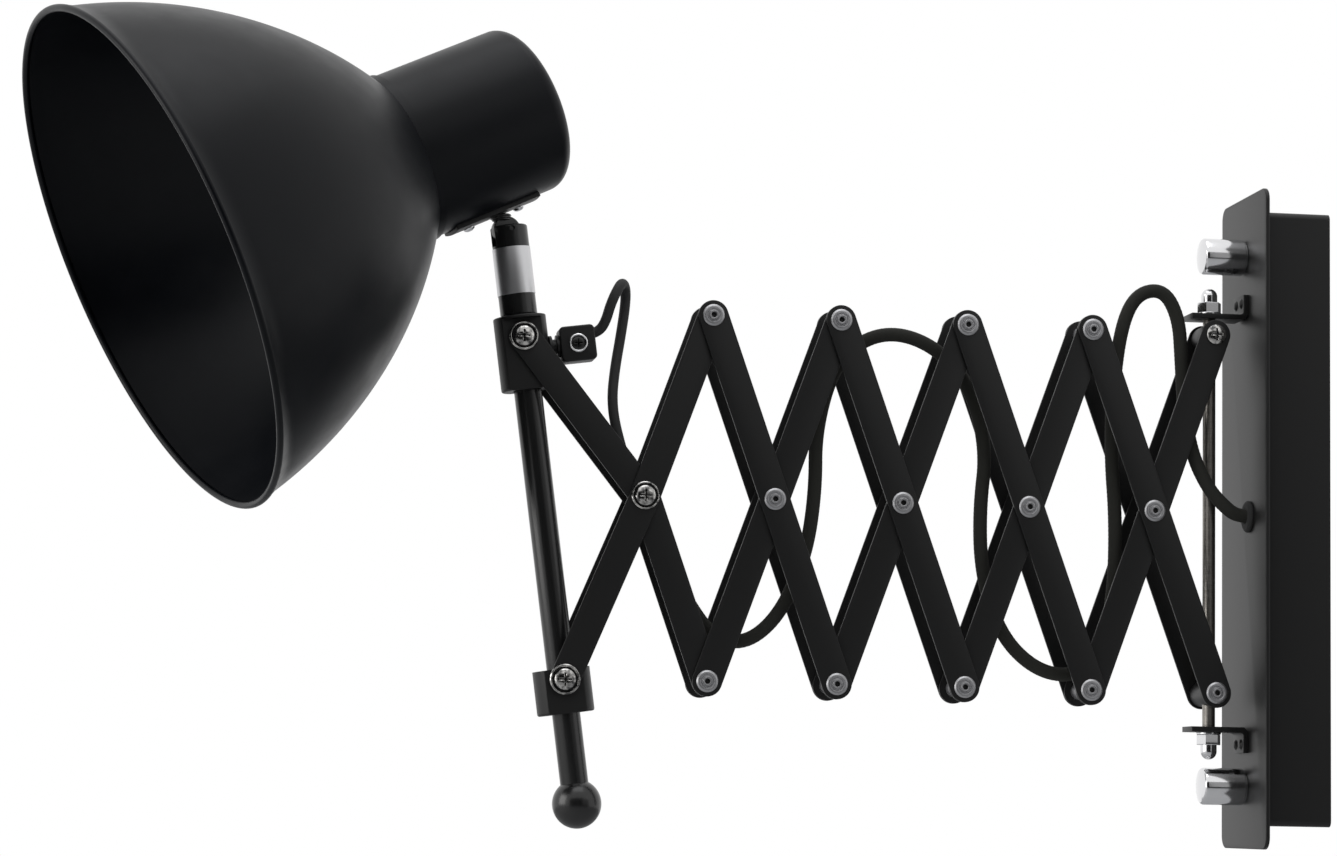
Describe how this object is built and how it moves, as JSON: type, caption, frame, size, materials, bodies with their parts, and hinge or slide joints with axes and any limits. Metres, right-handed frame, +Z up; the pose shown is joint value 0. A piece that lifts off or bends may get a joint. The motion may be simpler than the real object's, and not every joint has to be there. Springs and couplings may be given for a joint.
{
  "type": "accordion wall lamp",
  "caption": "Wall lamp on a double scissor arm that folds, reaches out and swings; a bell shade on a swivelling, tilting tube; cord woven through the lattice.",
  "frame": {"origin": "centre of the wall side of the box and its bracket", "axes": "+X into the wall, the lamp reaches out along -X, +Z up, the front of the lattice faces -Y"},
  "size_m": [0.6124, 0.2327, 0.3729],
  "materials": {
    "black_coat": "satin black powder coat",
    "gloss_black": "glossy black",
    "chrome": "polished chrome",
    "rivet_steel": "nickelled hollow rivets",
    "zinc_steel": "zinc-plated steel",
    "silver_band": "plain silver band",
    "brass": "bare brass",
    "rubber": "black rubber",
    "white_ceramic": "glazed porcelain",
    "black_plastic": "moulded black plastic",
    "terminal_plastic": "cream terminal block",
    "cord_pvc": "smooth black PVC sheath",
    "cord_braid": "black textile braid"
  },
  "bodies": {
    "root": {"wall_box": "black_coat", "wall_plate": "black_coat", "wall_bracket": "zinc_steel", "bracket_studs": "zinc_steel", "bracket_nuts": "zinc_steel", "cap_knobs": "chrome", "upper_tab": "black_coat", "lower_tab": "black_coat", "tab_rivets": "rivet_steel", "cord_grommet": "rubber", "terminal_block": "terminal_plastic", "braided_flex": "cord_braid"},
    "spindle": {"spindle_rod": "chrome", "spindle_nuts": "chrome", "upper_trunnion": "black_coat", "trunnion_screws": "chrome"},
    "slider": {"lower_trunnion": "black_coat", "slider_rivets": "rivet_steel"},
    "down_1": {"down_bars_1": "black_coat", "down_pivots_1": "rivet_steel"},
    "up_1": {"up_bars_1": "black_coat", "up_pivots_1": "rivet_steel"},
    "down_2": {"down_bars_2": "black_coat", "down_pivots_2": "rivet_steel"},
    "up_2": {"up_bars_2": "black_coat", "up_pivots_2": "rivet_steel"},
    "down_3": {"down_bars_3": "black_coat", "down_pivots_3": "rivet_steel"},
    "up_3": {"up_bars_3": "black_coat", "up_pivots_3": "rivet_steel"},
    "down_4": {"down_bars_4": "black_coat", "down_pivots_4": "rivet_steel"},
    "up_4": {"up_bars_4": "black_coat", "up_pivots_4": "rivet_steel"},
    "down_5": {"down_bars_5": "black_coat", "last_pivot_screws": "chrome"},
    "up_5": {"up_bars_5": "black_coat"},
    "upper_collar": {"upper_collar": "black_coat", "upper_collar_screws": "chrome", "clamp_nipple": "black_coat", "cord_clamp": "black_coat", "clamp_screw": "chrome", "lamp_lead": "cord_pvc", "lead_joint": "black_plastic"},
    "lower_collar": {"lower_collar": "black_coat", "lower_collar_screws": "chrome"},
    "tube": {"lamp_tube": "black_coat", "stem": "black_coat", "label_band": "silver_band", "ball_knob": "gloss_black", "tilt_bolt": "zinc_steel"},
    "head": {"swivel_neck": "black_coat", "cup_saddle": "black_coat", "saddle_screws": "chrome", "socket_cup": "black_coat", "shade": "black_coat", "lampholder": "white_ceramic", "lampholder_nipple": "zinc_steel", "lampholder_contacts": "brass", "shade_ring": "black_plastic"}
  },
  "joints": [
    {"name": "arm_swing", "type": "hinge", "parent": "root", "child": "spindle", "pos_m": [-0.0505, 0, 0], "axis": [0, 0, 1], "range_deg": [-75, 75], "deforming": ["braided_flex", "lamp_lead", "lead_joint"]},
    {"name": "arm_reach", "type": "hinge", "parent": "spindle", "child": "down_1", "pos_m": [-0.0505, 0, 0.087], "axis": [0, 1, 0], "range_deg": [-9.6, 35.4]},
    {"name": "up_1_pivot", "type": "hinge", "parent": "down_1", "child": "up_1", "pos_m": [-0.08069, 0, 0.00221], "axis": [0, 1, 0], "range_deg": [-70.8, 19.2]},
    {"name": "slider_pivot", "type": "hinge", "parent": "up_1", "child": "slider", "pos_m": [-0.0505, 0, -0.08257], "axis": [0, 1, 0], "range_deg": [-9.6, 35.4]},
    {"name": "up_2_pivot", "type": "hinge", "parent": "down_1", "child": "up_2", "pos_m": [-0.11088, 0, -0.08257], "axis": [0, 1, 0], "range_deg": [-70.8, 19.2]},
    {"name": "down_2_pivot", "type": "hinge", "parent": "up_2", "child": "down_2", "pos_m": [-0.14107, 0, 0.00221], "axis": [0, 1, 0], "range_deg": [-19.2, 70.8]},
    {"name": "down_3_pivot", "type": "hinge", "parent": "up_2", "child": "down_3", "pos_m": [-0.17126, 0, 0.087], "axis": [0, 1, 0], "range_deg": [-19.2, 70.8]},
    {"name": "up_3_pivot", "type": "hinge", "parent": "down_3", "child": "up_3", "pos_m": [-0.20145, 0, 0.00221], "axis": [0, 1, 0], "range_deg": [-70.8, 19.2]},
    {"name": "down_4_pivot", "type": "hinge", "parent": "up_3", "child": "down_4", "pos_m": [-0.23164, 0, 0.087], "axis": [0, 1, 0], "range_deg": [-19.2, 70.8]},
    {"name": "up_4_pivot", "type": "hinge", "parent": "down_4", "child": "up_4", "pos_m": [-0.26183, 0, 0.00221], "axis": [0, 1, 0], "range_deg": [-70.8, 19.2]},
    {"name": "up_5_pivot", "type": "hinge", "parent": "down_4", "child": "up_5", "pos_m": [-0.29202, 0, -0.08257], "axis": [0, 1, 0], "range_deg": [-70.8, 19.2]},
    {"name": "down_5_pivot", "type": "hinge", "parent": "up_5", "child": "down_5", "pos_m": [-0.32222, 0, 0.00221], "axis": [0, 1, 0], "range_deg": [-19.2, 70.8]},
    {"name": "upper_collar_pivot", "type": "hinge", "parent": "up_5", "child": "upper_collar", "pos_m": [-0.37993, 0, 0.07451], "axis": [0, 1, 0], "range_deg": [-9.6, 35.4]},
    {"name": "lower_collar_pivot", "type": "hinge", "parent": "down_5", "child": "lower_collar", "pos_m": [-0.35776, 0, -0.08318], "axis": [0, 1, 0], "range_deg": [-35.4, 9.6]},
    {"name": "tube_turn", "type": "hinge", "parent": "upper_collar", "child": "tube", "pos_m": [-0.37993, 0, 0.07451], "axis": [-0.1392, 0, 0.9903], "range_deg": [-115, 100]},
    {"name": "head_tilt", "type": "hinge", "parent": "tube", "child": "head", "pos_m": [-0.38842, -0.00038, 0.12451], "axis": [-0.2513, 0.9673, -0.0353], "range_deg": [-20, 42]}
  ],
  "couplings": [
    {"joint": "up_1_pivot", "follows": "arm_reach", "ratio": -2},
    {"joint": "slider_pivot", "follows": "arm_reach", "ratio": 1},
    {"joint": "up_2_pivot", "follows": "arm_reach", "ratio": -2},
    {"joint": "down_2_pivot", "follows": "arm_reach", "ratio": 2},
    {"joint": "down_3_pivot", "follows": "arm_reach", "ratio": 2},
    {"joint": "up_3_pivot", "follows": "arm_reach", "ratio": -2},
    {"joint": "down_4_pivot", "follows": "arm_reach", "ratio": 2},
    {"joint": "up_4_pivot", "follows": "arm_reach", "ratio": -2},
    {"joint": "up_5_pivot", "follows": "arm_reach", "ratio": -2},
    {"joint": "down_5_pivot", "follows": "arm_reach", "ratio": 2},
    {"joint": "upper_collar_pivot", "follows": "arm_reach", "ratio": 1},
    {"joint": "lower_collar_pivot", "follows": "arm_reach", "ratio": -1}
  ]
}
